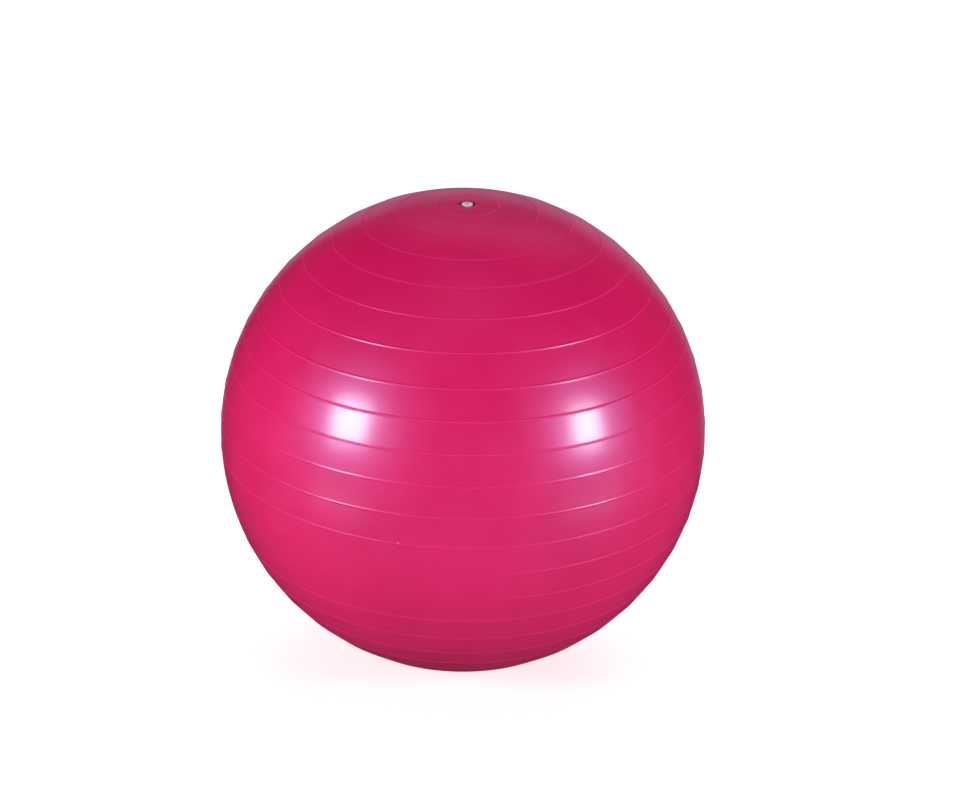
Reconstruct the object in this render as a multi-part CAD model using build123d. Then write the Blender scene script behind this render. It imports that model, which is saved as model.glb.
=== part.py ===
"""Inflated exercise ball: a ribbed vinyl shell, the valve seat bonded into it, and a pull-out plug.

Millimetres. The origin is the centre of the flat patch that the ball stands on, and +Z runs up
through the valve. The front is -Y.

The skin's half section is four arcs that run into each other without a corner: a crown that the
stiff valve keeps flatter than the rest, a shoulder, the round body, and a heel that rolls on to the
floor. A point on it is found by the angle at the ball's centre, down from the valve's axis.
"""

import os
from math import asin, atan2, cos, hypot, pi, radians, sin, sqrt

from build123d import *

# Shell
ball_diameter = 650.0  # round body, fully inflated
wall = 0.9  # vinyl thickness once the air has stretched it
crown_sink = 4.0  # how far the crown lies below a full sphere
crown_radius = 450.0
shoulder_end = radians(22.0)
floor_patch_radius = 25.0  # flat patch that the ball's own weight presses on the floor
heel_radius = 150.0

# Ribs: low round-topped rings moulded on the skin, a little wider apart near the valve
rib_width = 3.0
rib_height = 0.5
rib_count = 23
upper_rib_count = 7
first_rib_angle = radians(7.4)
second_rib_angle = radians(16.75)
upper_rib_pitch = radians(8.0)
lower_rib_pitch = radians(7.08)

# A smooth print panel interrupts two ribs. Turns about +Z are counted from +X
panel_ribs = (13, 14)
panel_start = -172.0
panel_end = -81.5

# Vent pips on the rib that covers the mould's parting line
parting_rib = 12
vent_turns = (-103.7, -36.5, 76.3, 143.5)
vent_radius = 2.0
vent_sink = 0.2

# Boss that thickens the shell round the valve seat
boss_radius = 22.0
boss_taper_start = radians(5.3)
boss_depth = 3.2

# Valve seat
seat_radius = 11.0
recess_mouth_radius = 10.0
recess_floor_radius = 9.2
recess_depth = 1.2
bore_radius = 4.25
bore_lead_in = 0.5
flange_radius = 18.0
flange_thickness = 1.6
sleeve_top_radius = 7.8
sleeve_end_radius = 6.6
sleeve_end_depth = 24.0
lip_edge = 0.3
recess_corner = 0.4
sleeve_edge = 0.4

# Plug
head_radius = 7.25
head_rim_thickness = 1.7
head_dome = 0.4
head_edge = 0.5
head_foot_edge = 0.25
head_gap = 0.08  # between the head and the recess floor
stem_length = 25.0
stem_radius = 3.9
seal_clearance = 0.05
seal_count = 3
seal_pitch = 5.5
seal_width = 1.6
first_seal_depth = 4.0
tip_length = 4.0
tip_radius = 2.8
tip_edge = 0.7
core_mouth_radius = 2.5
core_mouth_edge = 0.3
core_end_radius = 1.9
core_depth = 17.0

# What follows from the sizes above
ball_radius = ball_diameter / 2
rib_round = ((rib_width / 2) ** 2 + rib_height**2) / (2 * rib_height)
rib_half_angle = asin(rib_width / 2 / ball_radius)
heel_reach = ball_radius - heel_radius
centre_height = heel_radius + sqrt(heel_reach**2 - floor_patch_radius**2)
heel_start = pi - asin(floor_patch_radius / heel_reach)
heel_end = pi - atan2(floor_patch_radius, centre_height)

# The crown's arc is centred on the axis, and the shoulder's arc touches it and the body's
crown_centre = ball_radius - crown_sink - crown_radius
flatter_by = crown_radius - ball_radius
shoulder_reach = (crown_centre**2 - flatter_by**2) / (
    2 * (flatter_by + crown_centre * cos(shoulder_end))
)
shoulder_radius = ball_radius - shoulder_reach
shoulder_x = shoulder_reach * sin(shoulder_end)
shoulder_z = shoulder_reach * cos(shoulder_end)
touch_scale = crown_radius / hypot(shoulder_x, shoulder_z - crown_centre)
crown_end = atan2(
    shoulder_x * touch_scale, crown_centre + (shoulder_z - crown_centre) * touch_scale
)

# Each arc of the skin: the angle it ends at, its centre from the ball's centre, and its radius
skin_arcs = (
    (crown_end, 0.0, crown_centre, crown_radius),
    (shoulder_end, shoulder_x, shoulder_z, shoulder_radius),
    (heel_start, 0.0, 0.0, ball_radius),
    (heel_end, floor_patch_radius, heel_radius - centre_height, heel_radius),
)

crown = centre_height + ball_radius - crown_sink
recess_floor = crown - recess_depth
head_top = recess_floor + head_gap + head_rim_thickness


def rib_angle(number):
    """Angle of a rib's crest, with the ribs numbered from 1 at the valve."""
    if number == 1:
        return first_rib_angle
    upper_steps = min(number, upper_rib_count) - 2
    lower_steps = max(number - upper_rib_count, 0)
    return second_rib_angle + upper_steps * upper_rib_pitch + lower_steps * lower_rib_pitch


def on_skin(angle, out=0.0):
    """Point of the half section as (distance from the axis, height), moved out along the normal."""
    for end, centre_x, centre_z, radius in skin_arcs:
        if angle <= end + 1e-9:
            break
    along = centre_x * sin(angle) + centre_z * cos(angle)
    reach = along + sqrt(along**2 - centre_x**2 - centre_z**2 + radius**2)
    x = reach * sin(angle)
    z = reach * cos(angle)
    return (
        x + out * (x - centre_x) / radius,
        centre_height + z + out * (z - centre_z) / radius,
    )


def skin(start, end, out=0.0):
    """Arcs of the skin between two angles, or of a surface parallel to it."""
    ends = [a for a, *_ in skin_arcs if start < a < end] + [end]
    arcs = []
    for stop in ends:
        middle = (start + stop) / 2
        arcs.append(ThreePointArc(on_skin(start, out), on_skin(middle, out), on_skin(stop, out)))
        start = stop
    return arcs


def crown_height(radius):
    """Height of the skin near the valve."""
    return centre_height + crown_centre + sqrt(crown_radius**2 - radius**2)


def turned(edges, sweep=360.0):
    """Solid made by turning a closed outline in the XZ plane about the Z axis."""
    return revolve(Plane.XZ * make_face(edges), Axis.Z, revolution_arc=sweep)


def rounded(part, rims):
    """A turned part with some of its circular edges rounded, each rim given as (radius, height, round)."""
    for rim_radius, height, size in rims:
        edge = next(
            e
            for e in part.edges().filter_by(GeomType.CIRCLE)
            if abs(e.radius - rim_radius) < 1e-4 and abs(e.arc_center.Z - height) < 1e-4
        )
        part = fillet(edge, size)
    return part


def ribbed_ball():
    """The ball as a solid, with the ribs that run all the way round."""
    angle = 0.0
    outline = []
    for number in range(1, rib_count + 1):
        if number in panel_ribs:
            continue
        crest = rib_angle(number)
        side = on_skin(crest - rib_half_angle)
        far_side = on_skin(crest + rib_half_angle)
        outline += skin(angle, crest - rib_half_angle)
        outline.append(ThreePointArc(side, on_skin(crest, rib_height), far_side))
        angle = crest + rib_half_angle
    outline += skin(angle, heel_end)
    outline.append(Polyline((floor_patch_radius, 0), (0, 0), (0, crown)))
    return turned(outline)


def rib_ball(number, turn, radius, out):
    """A ball set in the skin at a rib's crest."""
    x, z = on_skin(rib_angle(number), out)
    return Rot(0, 0, turn) * Pos(x, 0, z) * Sphere(radius)


def interrupted_rib(number):
    """A rib that stops, with a round end, at each side of the print panel."""
    out = rib_height - rib_round
    section = Pos(*on_skin(rib_angle(number), out)) * Circle(rib_round)
    ring = revolve(Plane.XZ * section, Axis.Z, revolution_arc=360.0 - (panel_end - panel_start))
    ends = [rib_ball(number, turn, rib_round, out) for turn in (panel_start, panel_end)]
    return [Rot(0, 0, panel_end) * ring, *ends]


def air_space():
    """Inside of the ball, up to the boss, and the hole that the valve seat fills."""
    taper_foot = on_skin(boss_taper_start, -wall)
    outline = [
        Polyline((floor_patch_radius, wall), (0, wall), (0, crown + 1), (seat_radius, crown + 1)),
        Polyline(
            (seat_radius, crown + 1),
            (seat_radius, crown - boss_depth),
            (boss_radius, crown - boss_depth),
            taper_foot,
        ),
        *skin(boss_taper_start, heel_end, -wall),
    ]
    return turned(outline)


def make_ball_shell():
    shell = ribbed_ball()
    for number in panel_ribs:
        for piece in interrupted_rib(number):
            shell += piece
    for turn in vent_turns:
        shell += rib_ball(parting_rib, turn, vent_radius, -vent_sink)
    return shell - air_space()


def make_valve_seat():
    flange_top = crown - boss_depth
    flange_foot = flange_top - flange_thickness
    sleeve_end = crown - sleeve_end_depth
    lip_middle = (seat_radius + recess_mouth_radius) / 2
    outline = [
        ThreePointArc(
            (recess_mouth_radius, crown_height(recess_mouth_radius)),
            (lip_middle, crown_height(lip_middle)),
            (seat_radius, crown_height(seat_radius)),
        ),
        Polyline(
            (seat_radius, crown_height(seat_radius)),
            (seat_radius, flange_top),
            (flange_radius, flange_top),
            (flange_radius, flange_foot),
            (sleeve_top_radius, flange_foot),
            (sleeve_end_radius, sleeve_end),
            (bore_radius, sleeve_end),
            (bore_radius, recess_floor - bore_lead_in),
            (bore_radius + bore_lead_in, recess_floor),
            (recess_floor_radius, recess_floor),
            (recess_mouth_radius, crown_height(recess_mouth_radius)),
        ),
    ]
    rims = [
        (seat_radius, crown_height(seat_radius), lip_edge),
        (recess_mouth_radius, crown_height(recess_mouth_radius), lip_edge),
        (recess_floor_radius, recess_floor, recess_corner),
        (flange_radius, flange_foot, sleeve_edge),
        (sleeve_end_radius, sleeve_end, sleeve_edge),
    ]
    return rounded(turned(outline), rims)


def seal_arc(depth):
    """Half-round ring of the stem, from its upper side to its lower side."""
    height = recess_floor - depth
    return ThreePointArc(
        (stem_radius, height + seal_width / 2),
        (bore_radius - seal_clearance, height),
        (stem_radius, height - seal_width / 2),
    )


def make_valve_plug():
    head_foot = recess_floor + head_gap
    stem_end = recess_floor - stem_length
    core_end = recess_floor - core_depth
    mouth_height = head_top + head_dome
    dome_middle = (core_mouth_radius + head_radius) / 2
    outline = [
        Polyline(
            (0, stem_end),
            (0, core_end),
            (core_end_radius, core_end),
            (core_mouth_radius, mouth_height),
        ),
        ThreePointArc(
            (core_mouth_radius, mouth_height),
            (dome_middle, head_top + 0.7 * head_dome),
            (head_radius, head_top),
        ),
        Polyline((head_radius, head_top), (head_radius, head_foot), (stem_radius, head_foot)),
    ]
    height = head_foot
    for index in range(seal_count):
        depth = first_seal_depth + index * seal_pitch
        ring_top = recess_floor - depth + seal_width / 2
        outline.append(Line((stem_radius, height), (stem_radius, ring_top)))
        outline.append(seal_arc(depth))
        height = ring_top - seal_width
    outline.append(
        Polyline(
            (stem_radius, height),
            (stem_radius, stem_end + tip_length),
            (tip_radius, stem_end),
            (0, stem_end),
        )
    )
    rims = [
        (head_radius, head_top, head_edge),
        (head_radius, head_foot, head_foot_edge),
        (core_mouth_radius, mouth_height, core_mouth_edge),
        (tip_radius, stem_end, tip_edge),
    ]
    return rounded(turned(outline), rims)


os.makedirs("parts", exist_ok=True)
nodes = {
    "ball_shell": make_ball_shell(),
    "valve_seat": make_valve_seat(),
    "valve_plug": make_valve_plug(),
}
for name, solid in nodes.items():
    export_step(solid, f"parts/{name}.step")
    print(name, round(solid.volume), "mm3")
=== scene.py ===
"""Looks of the inflated exercise ball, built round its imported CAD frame.

Metres. The ball stands on its floor patch at the origin, +Z runs up through the valve and the
front is -Y. The visible shell is one closed mesh: the ribbed skin, the valve hole, the boss under
it and the inside of the skin. The valve seat and the plug keep their CAD shapes.
"""

from math import asin, atan2, cos, hypot, pi, radians, sin, sqrt, tan

import bpy
import numpy as np
from mathutils import Matrix, Quaternion, Vector


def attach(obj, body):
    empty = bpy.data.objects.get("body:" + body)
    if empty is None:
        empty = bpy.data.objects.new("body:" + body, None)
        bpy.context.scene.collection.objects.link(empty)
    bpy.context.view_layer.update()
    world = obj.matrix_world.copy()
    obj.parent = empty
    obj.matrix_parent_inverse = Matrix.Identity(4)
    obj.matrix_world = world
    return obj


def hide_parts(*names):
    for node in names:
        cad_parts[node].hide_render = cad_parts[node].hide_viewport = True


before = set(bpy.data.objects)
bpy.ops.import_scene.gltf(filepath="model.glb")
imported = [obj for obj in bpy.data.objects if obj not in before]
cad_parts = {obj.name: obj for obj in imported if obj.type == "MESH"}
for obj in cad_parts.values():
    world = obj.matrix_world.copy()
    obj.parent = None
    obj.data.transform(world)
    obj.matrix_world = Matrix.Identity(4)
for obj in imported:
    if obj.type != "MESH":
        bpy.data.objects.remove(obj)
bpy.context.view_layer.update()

MM = 0.001

# Skin, as the CAD model has it
BALL_RADIUS = 325 * MM
WALL = 0.9 * MM
CROWN_SINK = 4 * MM
CROWN_RADIUS = 450 * MM
SHOULDER_END = radians(22)
PATCH_RADIUS = 25 * MM
HEEL_RADIUS = 150 * MM

# Ribs
RIB_COUNT = 23
UPPER_RIB_COUNT = 7
FIRST_RIB_ANGLE = radians(7.4)
SECOND_RIB_ANGLE = radians(16.75)
UPPER_RIB_PITCH = radians(8.0)
LOWER_RIB_PITCH = radians(7.08)
RIB_HEIGHT = 0.5 * MM
RIB_FOOT = 1.9 * MM  # from the crest to where the rib has run out into the skin
PANEL_RIBS = (13, 14)
PANEL_START = radians(-172)
PANEL_END = radians(-81.5)
RIB_END_LENGTH = 2.5 * MM

# Vent pips on the rib over the mould's parting line
PARTING_RIB = 12
VENT_TURNS = [radians(turn) for turn in (-103.7, -36.5, 76.3, 143.5)]
VENT_HEIGHT = 1.8 * MM
VENT_REACH = 2.4 * MM
VENT_FALL = 1.5  # power that rounds a pip's foot off into the skin

# Valve hole and boss
HOLE_RADIUS = 11.03 * MM
HOLE_EDGE = 0.35 * MM
BOSS_DEPTH = 3.2 * MM
BOSS_RADIUS = 22 * MM
BOSS_TAPER_START = radians(5.3)
EDGE_MIDDLE = 0.3  # depth of a rounded edge's middle below each face, as a share of its radius

# Mouth of the hollow in the plug's head, and the rounded lip round it, over which the painted shade
# inside the hollow fades out
HOLLOW_RADIUS = 2.5 * MM
HOLLOW_LIP = 0.9 * MM

# Mesh of the shell
EVEN_TURN_STEP = 2.0  # degrees between meridians, away from the vents and the rib ends
CLOSE_TURN_REACH = 0.6  # degrees that the close meridians reach, each side of a vent or rib end
CLOSE_TURN_COUNT = 13
CLOSE_TURN_GAP = radians(1.0)  # least turn between a vent or rib end and an even meridian
ACROSS_RIB = np.array((-2.6, -1.9, -1.4, -0.95, -0.45, 0.0, 0.45, 0.95, 1.4, 1.9, 2.6)) * MM
ROWS_ABOVE_RIBS = 4
ROWS_BETWEEN_RIBS = 2
HEEL_ROWS = 8
INNER_ROWS = 71
PATCH_RING_SHARES = (0.7, 0.35)  # of the patch's radius
ANGLE_SLACK = 1e-9

# Camera: where it stands from the ball's centre, and how far it looks past it
VIEW_ELEVATION = radians(24.7)
VIEW_DISTANCE = 10.14 * BALL_RADIUS
LENS = 89.7
AIM_RIGHT = radians(0.6285)
AIM_UP = radians(0.626)
CAMERA_ROLL = radians(1.0)

# Lights: metres and degrees, with radiances in watts per square metre and steradian
SOFTBOX_DISTANCE = 2.7
SOFTBOX_HEIGHT = 0.74
SOFTBOX_RADIANCE = 25.5
SOFTBOX_LEAN = 12.0
GLEAM_SIZE = (0.5, 0.17)
GLEAM_RADIANCE = 0.9

# Floor: its paint, and how brightly it glows to the eye and to the ball
FLOOR_REACH = 15.0
FLOOR_GREY = (0.68, 0.68, 0.68, 1)
FLOOR_GLOW_SEEN = 0.65
FLOOR_GLOW_UNSEEN = 0.12

# World, and its backdrop: each edge fades over a span of one axis of the way that a ray goes
WORLD_LIGHT = 0.07
WORLD_REFLECTED = 0.03
REFLECTED_TINT = (0.9, 0.85, 1.3, 1)
BACKDROP_REFLECTED = 0.27
BACKDROP_EDGES = (  # axis, value before the fade and after it, start and end of the fade
    ("Y", 0.0, 1.0, 0.0, 0.2),
    ("X", 0.0, 1.0, -0.36, -0.28),
    ("X", 1.0, 0.0, 0.2, 0.65),
    ("Z", 0.0, 1.0, -0.5, -0.36),
    ("Z", 1.0, 0.0, 0.16, 0.34),
)

# Colours, linear
WHITE = (1, 1, 1, 1)
VINYL_DEEP = (0.80, 0.0025, 0.108, 1)
VINYL_PALE = (0.86, 0.0035, 0.122, 1)
VINYL_FLECK = (0.92, 0.015, 0.16, 1)
# Painted highlight: a lighter pink along the rib crests, standing in for the light that the raised
# ribs catch
VINYL_CREST_HIGHLIGHT = (0.89, 0.013, 0.147, 1)
VINYL_SHEEN = (0.20, 0.38, 1.0, 1)
# Seat vinyl painted dark: painted shade for the recess round the plug
SEAT_SHADE_DEEP = (0.19, 0.005, 0.04, 1)
SEAT_SHADE_PALE = (0.25, 0.007, 0.054, 1)
PLUG_DEEP = (0.97, 0.66, 0.78, 1)
PLUG_PALE = (1.0, 0.71, 0.83, 1)
# Painted shade inside the hollow of the plug's head
PLUG_HOLLOW_SHADE = (0.66, 0.47, 0.56, 1)

# Where most of a noise texture's values lie
NOISE_LOW = 0.3
NOISE_HIGH = 0.7

# Sockets of a Mix node that mixes colours
MIX_FIRST = 6
MIX_SECOND = 7
MIX_RESULT = 2

# Derived from the skin's dimensions
HEEL_REACH = BALL_RADIUS - HEEL_RADIUS
CENTRE_HEIGHT = HEEL_RADIUS + sqrt(HEEL_REACH**2 - PATCH_RADIUS**2)
HEEL_START = pi - asin(PATCH_RADIUS / HEEL_REACH)
HEEL_END = pi - atan2(PATCH_RADIUS, CENTRE_HEIGHT)
CROWN_CENTRE = BALL_RADIUS - CROWN_SINK - CROWN_RADIUS
FLATTER_BY = CROWN_RADIUS - BALL_RADIUS
SHOULDER_REACH = (CROWN_CENTRE**2 - FLATTER_BY**2) / (
    2 * (FLATTER_BY + CROWN_CENTRE * cos(SHOULDER_END))
)
SHOULDER_X = SHOULDER_REACH * sin(SHOULDER_END)
SHOULDER_Z = SHOULDER_REACH * cos(SHOULDER_END)
TOUCH_SCALE = CROWN_RADIUS / hypot(SHOULDER_X, SHOULDER_Z - CROWN_CENTRE)
CROWN_END = atan2(
    SHOULDER_X * TOUCH_SCALE, CROWN_CENTRE + (SHOULDER_Z - CROWN_CENTRE) * TOUCH_SCALE
)
CROWN = CENTRE_HEIGHT + BALL_RADIUS - CROWN_SINK
CENTRE = Vector((0, 0, CENTRE_HEIGHT))

# Each arc of the skin: the angle it ends at, its centre from the ball's centre, and its radius
SKIN_ARCS = (
    (CROWN_END, 0.0, CROWN_CENTRE, CROWN_RADIUS),
    (SHOULDER_END, SHOULDER_X, SHOULDER_Z, BALL_RADIUS - SHOULDER_REACH),
    (HEEL_START, 0.0, 0.0, BALL_RADIUS),
    (HEEL_END, PATCH_RADIUS, HEEL_RADIUS - CENTRE_HEIGHT, HEEL_RADIUS),
)


def rib_angle(number):
    """Angle of a rib's crest from the valve's axis, with the ribs numbered from 1 at the valve."""
    if number == 1:
        return FIRST_RIB_ANGLE
    upper_steps = min(number, UPPER_RIB_COUNT) - 2
    lower_steps = max(number - UPPER_RIB_COUNT, 0)
    return SECOND_RIB_ANGLE + upper_steps * UPPER_RIB_PITCH + lower_steps * LOWER_RIB_PITCH


def on_skin(angle):
    """A point of the skin's half section and its normal, both as (from the axis, up)."""
    for end, centre_x, centre_z, radius in SKIN_ARCS:
        if angle <= end + ANGLE_SLACK:
            break
    along = centre_x * sin(angle) + centre_z * cos(angle)
    reach = along + sqrt(along**2 - centre_x**2 - centre_z**2 + radius**2)
    x = reach * sin(angle)
    z = reach * cos(angle)
    point = np.array((x, CENTRE_HEIGHT + z))
    normal = np.array((x - centre_x, z - centre_z)) / radius
    return point, normal


def skin_angle_at(radius):
    """Angle at which the crown's skin is this far from the axis."""
    height = CROWN_CENTRE + sqrt(CROWN_RADIUS**2 - radius**2)
    return atan2(radius, height)


# ---------------------------------------------------------------- shell mesh


def spaced_turns():
    """Turns of the mesh's meridians: even all round, and close together at the vents and rib ends."""
    even = np.radians(np.arange(-180, 180, EVEN_TURN_STEP))
    steps = np.radians(np.linspace(-CLOSE_TURN_REACH, CLOSE_TURN_REACH, CLOSE_TURN_COUNT))
    features = [*VENT_TURNS, PANEL_START, PANEL_END]
    close = np.concatenate([turn + steps for turn in features])
    gap = np.abs(even[:, None] - np.array(features)[None, :]).min(axis=1)
    return np.sort(np.concatenate([even[gap > CLOSE_TURN_GAP], close]))


def skin_rows():
    """Angle of each ring of points down the outer skin: close together on the ribs."""
    beside_rib = ACROSS_RIB[-1] / BALL_RADIUS
    start = skin_angle_at(HOLE_RADIUS + HOLE_EDGE)
    angles = list(np.linspace(start, rib_angle(1) - beside_rib, ROWS_ABOVE_RIBS + 1)[:-1])
    for number in range(1, RIB_COUNT + 1):
        angles += list(rib_angle(number) + ACROSS_RIB / BALL_RADIUS)
        if number < RIB_COUNT:
            above = rib_angle(number) + beside_rib
            below = rib_angle(number + 1) - beside_rib
            angles += list(np.linspace(above, below, ROWS_BETWEEN_RIBS + 2)[1:-1])
    angles += list(np.linspace(HEEL_START, HEEL_END, HEEL_ROWS))
    return angles


def rib_rise(angle, turns):
    """How far the ribs and the vent pips lift the skin at one angle, at each turn."""
    rise = np.zeros(len(turns))
    for number in range(1, RIB_COUNT + 1):
        from_crest = (angle - rib_angle(number)) * BALL_RADIUS
        if abs(from_crest) < RIB_FOOT:
            height = RIB_HEIGHT * cos(pi / 2 * from_crest / RIB_FOOT) ** 2
            rise = np.maximum(rise, height * rib_presence(number, turns))
    from_parting = (angle - rib_angle(PARTING_RIB)) * BALL_RADIUS
    for turn in VENT_TURNS:
        along = (turns - turn) * BALL_RADIUS
        share = np.clip(np.hypot(from_parting, along) / VENT_REACH, 0, 1)
        rise = np.maximum(rise, VENT_HEIGHT * (1 - share**2) ** VENT_FALL)
    return rise


def rib_presence(number, turns):
    """1 where a rib is there, 0 on the print panel, and a smooth run-out at its ends."""
    if number not in PANEL_RIBS:
        return np.ones(len(turns))
    past_end = np.minimum(np.abs(turns - PANEL_START), np.abs(turns - PANEL_END)) * BALL_RADIUS
    inside = (turns > PANEL_START) & (turns < PANEL_END)
    share = np.clip(np.where(inside, -past_end, past_end) / RIB_END_LENGTH + 0.5, 0, 1)
    return share * share * (3 - 2 * share)


def ring(radius, height, turns):
    """A level ring of points."""
    return np.column_stack(
        (radius * np.cos(turns), radius * np.sin(turns), np.full(len(turns), height))
    )


def outer_rings(turns):
    """Rings of the visible skin down to the floor patch, and how far each point is up a rib."""
    rings = []
    rises = []
    for angle in skin_rows():
        point, normal = on_skin(angle)
        rise = rib_rise(angle, turns)
        radius = point[0] + normal[0] * rise
        height = point[1] + normal[1] * rise
        rings.append(
            np.column_stack((radius * np.cos(turns), radius * np.sin(turns), height))
        )
        rises.append(rise)
    return rings, np.concatenate(rises)


def inner_rings(turns):
    """Rings of the inside, from the floor patch up to the boss and through the valve hole."""
    rings = [ring(radius, WALL, turns) for radius in (PATCH_RADIUS / 2, PATCH_RADIUS)]
    for angle in np.linspace(HEEL_END, BOSS_TAPER_START, INNER_ROWS + 1)[1:]:
        point, normal = on_skin(angle)
        inside = point - normal * WALL
        rings.append(ring(inside[0], inside[1], turns))
    under_boss = CROWN - BOSS_DEPTH
    rings.append(ring(BOSS_RADIUS, under_boss, turns))
    rings.append(ring(HOLE_RADIUS, under_boss, turns))
    rim = on_skin(skin_angle_at(HOLE_RADIUS))[0][1]
    rings.append(ring(HOLE_RADIUS, rim - HOLE_EDGE, turns))
    to_middle = EDGE_MIDDLE * HOLE_EDGE
    rings.append(ring(HOLE_RADIUS + to_middle, rim - to_middle, turns))
    return rings


def closed_mesh(name, rings, last_outer_row, poles):
    """Closed mesh of rings joined in order. The outside closes on one pole, the inside on another."""
    count = len(rings[0])
    points = np.concatenate(rings + [np.array(poles)])
    outside_pole = len(rings) * count
    inside_pole = outside_pole + 1
    faces = []
    following = [(i + 1) % count for i in range(count)]
    for row in range(len(rings)):
        after = (row + 1) % len(rings)
        a, b = row * count, after * count
        if row == last_outer_row:
            faces += [(a + i, outside_pole, a + following[i]) for i in range(count)]
            faces += [(b + i, b + following[i], inside_pole) for i in range(count)]
            continue
        faces += [(a + i, b + i, b + following[i], a + following[i]) for i in range(count)]
    mesh = bpy.data.meshes.new(name)
    mesh.from_pydata(points.tolist(), [], faces)
    mesh.polygons.foreach_set("use_smooth", [True] * len(mesh.polygons))
    mesh.validate()
    return mesh


def make_shell():
    """The ball's skin, outside and inside, with each point's height up a rib as an attribute."""
    turns = spaced_turns()
    outside, rises = outer_rings(turns)
    outside += [ring(PATCH_RADIUS * share, 0.0, turns) for share in PATCH_RING_SHARES]
    inside = inner_rings(turns)
    poles = [(0, 0, 0), (0, 0, WALL)]
    mesh = closed_mesh("ball_skin", outside + inside, len(outside) - 1, poles)
    crest = np.zeros(len(mesh.vertices))
    crest[: len(rises)] = np.clip(rises / RIB_HEIGHT, 0, 1)
    mesh.attributes.new("crest", "FLOAT", "POINT").data.foreach_set("value", crest)
    shell = bpy.data.objects.new("ball_skin", mesh)
    bpy.context.scene.collection.objects.link(shell)
    return shell


# ---------------------------------------------------------------- materials


class Nodes:
    """Short names for building a node tree."""

    def __init__(self, tree):
        self.tree = tree
        tree.nodes.clear()

    def add(self, kind, **values):
        node = self.tree.nodes.new(kind)
        for name, value in values.items():
            if name in node.inputs:
                node.inputs[name].default_value = value
            else:
                setattr(node, name, value)
        return node

    def link(self, output, target):
        self.tree.links.new(output, target)

    def place(self):
        """Where a point is on its own object."""
        return self.add("ShaderNodeTexCoord").outputs["Object"]

    def noise(self, place, scale, detail=2.0, roughness=0.5):
        node = self.add("ShaderNodeTexNoise", Scale=scale, Detail=detail, Roughness=roughness)
        self.link(place, node.inputs["Vector"])
        return node.outputs["Fac"]

    def spread(self, value, low, high, from_low=NOISE_LOW, from_high=NOISE_HIGH):
        """value, mapped smoothly from one span to another."""
        node = self.add("ShaderNodeMapRange", interpolation_type="SMOOTHSTEP")
        for name, number in (
            ("From Min", from_low),
            ("From Max", from_high),
            ("To Min", low),
            ("To Max", high),
        ):
            node.inputs[name].default_value = number
        self.link(value, node.inputs["Value"])
        return node.outputs["Result"]

    def between(self, share, at_none, at_full):
        """A number that goes smoothly from one value, where share is 0, to another at 1."""
        return self.spread(share, at_none, at_full, 0.0, 1.0)

    def math(self, operation, first, second):
        node = self.add("ShaderNodeMath", operation=operation)
        self.link(first, node.inputs[0])
        self.link(second, node.inputs[1])
        return node.outputs["Value"]

    def mix(self, share, first, second):
        node = self.add("ShaderNodeMix", data_type="RGBA")
        self.link(share, node.inputs["Factor"])
        for number, colour in ((MIX_FIRST, first), (MIX_SECOND, second)):
            if isinstance(colour, tuple):
                node.inputs[number].default_value = colour
            else:
                self.link(colour, node.inputs[number])
        return node.outputs[MIX_RESULT]

    def bump(self, height, strength, distance, before=None):
        node = self.add("ShaderNodeBump", Strength=strength, Distance=distance)
        self.link(height, node.inputs["Height"])
        if before is not None:
            self.link(before, node.inputs["Normal"])
        return node.outputs["Normal"]


def new_material(name):
    """A material with its shader and output joined up."""
    material = bpy.data.materials.new(name)
    material.use_nodes = True
    nodes = Nodes(material.node_tree)
    shader = nodes.add("ShaderNodeBsdfPrincipled")
    output = nodes.add("ShaderNodeOutputMaterial")
    nodes.link(shader.outputs["BSDF"], output.inputs["Surface"])
    return material, nodes, shader


def vinyl_material():
    """Pearly dyed vinyl: a satin body under a smoother film, with the fine grain of its mould, and a
    painted highlight in lighter pink along the rib crests.
    """
    material, nodes, shader = new_material("vinyl_skin")
    place = nodes.place()
    cloud = nodes.spread(nodes.noise(place, scale=6.0, detail=3.0), low=0.0, high=1.0)
    specks = nodes.noise(place, scale=700.0)
    fleck = nodes.spread(specks, low=0.0, high=0.25, from_low=0.5, from_high=0.8)
    body = nodes.mix(cloud, VINYL_DEEP, VINYL_PALE)
    flecked = nodes.mix(fleck, body, VINYL_FLECK)
    crest = nodes.add("ShaderNodeAttribute", attribute_name="crest").outputs["Fac"]
    # Rib crests lightened towards a paler pink: a painted highlight for the light that the ribs catch
    crest_highlight = nodes.spread(crest, low=0.0, high=1.0, from_low=0.1, from_high=0.9)
    tint = nodes.mix(crest_highlight, flecked, VINYL_CREST_HIGHLIGHT)
    nodes.link(tint, shader.inputs["Base Color"])
    patches = nodes.noise(place, scale=24.0, detail=4.0, roughness=0.6)
    nodes.link(nodes.spread(patches, low=0.39, high=0.47), shader.inputs["Roughness"])
    shader.inputs["IOR"].default_value = 1.95
    shader.inputs["Specular Tint"].default_value = VINYL_SHEEN
    film = nodes.spread(crest, low=0.9, high=0.3, from_low=0.1, from_high=0.9)
    nodes.link(film, shader.inputs["Coat Weight"])
    shader.inputs["Coat Roughness"].default_value = 0.21
    waves = nodes.noise(place, scale=11.0, detail=1.0)
    slow = nodes.bump(waves, strength=0.5, distance=1.2 * MM)
    dimples = nodes.noise(place, scale=240.0)
    peel = nodes.bump(dimples, strength=0.5, distance=0.08 * MM, before=slow)
    pores = nodes.noise(place, scale=900.0)
    grain = nodes.bump(pores, strength=0.5, distance=0.09 * MM, before=peel)
    nodes.link(grain, shader.inputs["Normal"])
    nodes.link(peel, shader.inputs["Coat Normal"])
    return material


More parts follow.
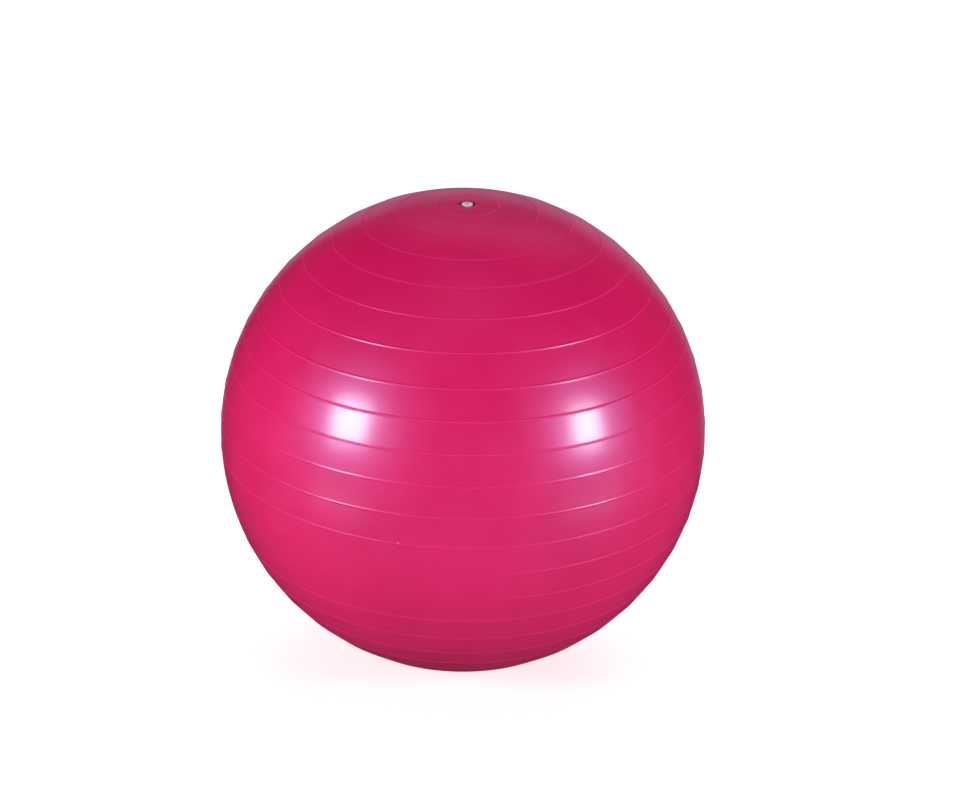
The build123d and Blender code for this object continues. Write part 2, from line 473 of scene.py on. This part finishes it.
def seat_material():
    """The same vinyl cast thicker, painted darker as shade in the recess round the plug, with a
    duller moulded face.
    """
    material, nodes, shader = new_material("valve_vinyl")
    place = nodes.place()
    cloud = nodes.spread(nodes.noise(place, scale=160.0, detail=3.0), low=0.0, high=1.0)
    # Painted shade: the seat's dark colour stands for the shade in the recess round the plug
    nodes.link(nodes.mix(cloud, SEAT_SHADE_DEEP, SEAT_SHADE_PALE), shader.inputs["Base Color"])
    wear = nodes.spread(nodes.noise(place, scale=500.0), low=0.38, high=0.5)
    nodes.link(wear, shader.inputs["Roughness"])
    pores = nodes.noise(place, scale=1800.0)
    grain = nodes.bump(pores, strength=0.4, distance=0.05 * MM)
    nodes.link(grain, shader.inputs["Normal"])
    return material


def plug_material():
    """Pinkish white polyethylene: slightly waxy, with faint moulding flow, a fine grain and painted
    shade inside the hollow of its head.
    """
    material, nodes, shader = new_material("plug_plastic")
    place = nodes.place()
    cloud = nodes.spread(nodes.noise(place, scale=260.0, detail=3.0), low=0.0, high=1.0)
    face = nodes.mix(cloud, PLUG_DEEP, PLUG_PALE)
    level = nodes.add("ShaderNodeVectorMath", operation="MULTIPLY")
    level.inputs[1].default_value = (1, 1, 0)
    nodes.link(place, level.inputs[0])
    reach = nodes.add("ShaderNodeVectorMath", operation="LENGTH")
    nodes.link(level.outputs["Vector"], reach.inputs[0])
    from_axis = reach.outputs["Value"]
    # Painted shade: the inside of the hollow in the plug's head is coloured darker
    hollow_shade = nodes.spread(from_axis, 1.0, 0.0, HOLLOW_RADIUS, HOLLOW_RADIUS + HOLLOW_LIP)
    nodes.link(nodes.mix(hollow_shade, face, PLUG_HOLLOW_SHADE), shader.inputs["Base Color"])
    wear = nodes.spread(nodes.noise(place, scale=700.0), low=0.3, high=0.42)
    nodes.link(wear, shader.inputs["Roughness"])
    shader.inputs["Subsurface Weight"].default_value = 0.15
    shader.inputs["Subsurface Scale"].default_value = 1.5 * MM
    pores = nodes.noise(place, scale=1500.0)
    grain = nodes.bump(pores, strength=0.25, distance=0.04 * MM)
    nodes.link(grain, shader.inputs["Normal"])
    return material


# ---------------------------------------------------------------- camera, lights and stage


def make_camera():
    """Camera before and above the ball, aimed a little up and to the right of its centre."""
    back = Vector((0, -cos(VIEW_ELEVATION), sin(VIEW_ELEVATION)))
    right = Vector((1, 0, 0))
    up = back.cross(right)
    rolled_right = right * cos(CAMERA_ROLL) + up * sin(CAMERA_ROLL)
    rolled_up = up * cos(CAMERA_ROLL) - right * sin(CAMERA_ROLL)
    towards_ball = Matrix((rolled_right, rolled_up, back)).transposed()
    seen_at = Vector((-tan(AIM_RIGHT), -tan(AIM_UP), -1))
    aside = seen_at.rotation_difference(Vector((0, 0, -1))).to_matrix()
    camera = bpy.data.objects.new("camera", bpy.data.cameras.new("camera"))
    camera.data.lens = LENS
    camera.matrix_world = (towards_ball @ aside).to_4x4()
    camera.location = CENTRE + back * VIEW_DISTANCE
    bpy.context.scene.collection.objects.link(camera)
    bpy.context.scene.camera = camera


def softbox(name, turn, elevation, distance, size, radiance, lean=0.0):
    """Rectangular softbox that faces the ball, seen from its centre at this turn and elevation.

    Angles in degrees. The turn runs from the front to the right, and the lean is about the
    line of sight.
    """
    turn = radians(turn)
    elevation = radians(elevation)
    lean = radians(lean)
    light = bpy.data.lights.new(name, "AREA")
    light.shape = "RECTANGLE"
    light.size, light.size_y = size
    light.energy = pi * size[0] * size[1] * radiance
    lamp = bpy.data.objects.new(name, light)
    towards = Vector(
        (cos(elevation) * sin(turn), -cos(elevation) * cos(turn), sin(elevation))
    )
    lamp.location = CENTRE + towards * distance
    facing = towards.to_track_quat("Z", "Y") @ Quaternion((0, 0, 1), lean)
    lamp.rotation_euler = facing.to_euler()
    lamp.visible_camera = False
    bpy.context.scene.collection.objects.link(lamp)
    return lamp


def make_lights():
    """Two softboxes before the ball, their gleam off the table, and fills that aren't reflected."""
    for name, turn, elevation, width, lean in (
        ("left_softbox", -53.6, 17.8, 0.74, SOFTBOX_LEAN),
        ("right_softbox", 58.1, 15.7, 0.64, -SOFTBOX_LEAN),
    ):
        size = (width, SOFTBOX_HEIGHT)
        softbox(name, turn, elevation, SOFTBOX_DISTANCE, size, SOFTBOX_RADIANCE, lean)
    softbox("left_gleam", -50.3, -11.5, 1.18, GLEAM_SIZE, GLEAM_RADIANCE)
    softbox("right_gleam", 54.0, -11.9, 1.17, GLEAM_SIZE, GLEAM_RADIANCE)
    fills = (
        softbox("front_fill", 0.0, 10.0, 4.0, (2.4, 2.0), 0.5),
        softbox("back_fill", 171.0, 38.0, 6.0, (4.8, 3.6), 3.9),
        softbox("top_fill", 0.0, 80.0, 3.0, (1.6, 1.6), 0.8),
    )
    for fill in fills:
        fill.visible_glossy = False


def make_stage():
    """Pale floor, bright to the eye, that throws back only a little light on to the ball."""
    mesh = bpy.data.meshes.new("floor")
    ends = (-FLOOR_REACH, FLOOR_REACH)
    corners = [(x, y, 0) for y in ends for x in ends]
    mesh.from_pydata(corners, [], [(0, 1, 3, 2)])
    floor = bpy.data.objects.new("floor", mesh)
    bpy.context.scene.collection.objects.link(floor)
    material, nodes, shader = new_material("floor_paint")
    shader.inputs["Base Color"].default_value = FLOOR_GREY
    shader.inputs["Roughness"].default_value = 1.0
    shader.inputs["Specular IOR Level"].default_value = 0.0
    shader.inputs["Emission Color"].default_value = WHITE
    seen = nodes.add("ShaderNodeLightPath").outputs["Is Camera Ray"]
    glow = nodes.between(seen, FLOOR_GLOW_UNSEEN, FLOOR_GLOW_SEEN)
    nodes.link(glow, shader.inputs["Emission Strength"])
    mesh.materials.append(material)
    floor.visible_glossy = False


def make_world():
    """Dim studio, white to the eye, with a lilac backdrop behind the ball in its reflections."""
    world = bpy.data.worlds.new("studio")
    bpy.context.scene.world = world
    world.use_nodes = True
    nodes = Nodes(world.node_tree)
    way = nodes.add("ShaderNodeSeparateXYZ")
    nodes.link(nodes.add("ShaderNodeTexCoord").outputs["Generated"], way.inputs["Vector"])
    edges = [
        nodes.spread(way.outputs[axis], before, after, start, end)
        for axis, before, after, start, end in BACKDROP_EDGES
    ]
    backdrop = edges[0]
    for edge in edges[1:]:
        backdrop = nodes.math("MULTIPLY", backdrop, edge)
    path = nodes.add("ShaderNodeLightPath")
    reflected = path.outputs["Is Glossy Ray"]
    dim = nodes.between(reflected, WORLD_LIGHT, WORLD_REFLECTED)
    backdrop_light = nodes.between(backdrop, 0.0, BACKDROP_REFLECTED)
    light = nodes.math("MAXIMUM", dim, backdrop_light)
    light = nodes.math("MAXIMUM", light, path.outputs["Is Camera Ray"])
    tint = nodes.mix(reflected, WHITE, REFLECTED_TINT)
    background = nodes.add("ShaderNodeBackground")
    nodes.link(tint, background.inputs["Color"])
    nodes.link(light, background.inputs["Strength"])
    output = nodes.add("ShaderNodeOutputWorld")
    nodes.link(background.outputs["Background"], output.inputs["Surface"])


# ---------------------------------------------------------------- the scene

bpy.context.scene.view_settings.view_transform = "Standard"

shell = make_shell()
shell.data.materials.append(vinyl_material())
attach(shell, "ball")
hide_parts("ball_shell")

for node, material in (("valve_seat", seat_material()), ("valve_plug", plug_material())):
    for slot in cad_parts[node].material_slots:
        slot.material = material

make_camera()
make_world()
make_lights()
make_stage()
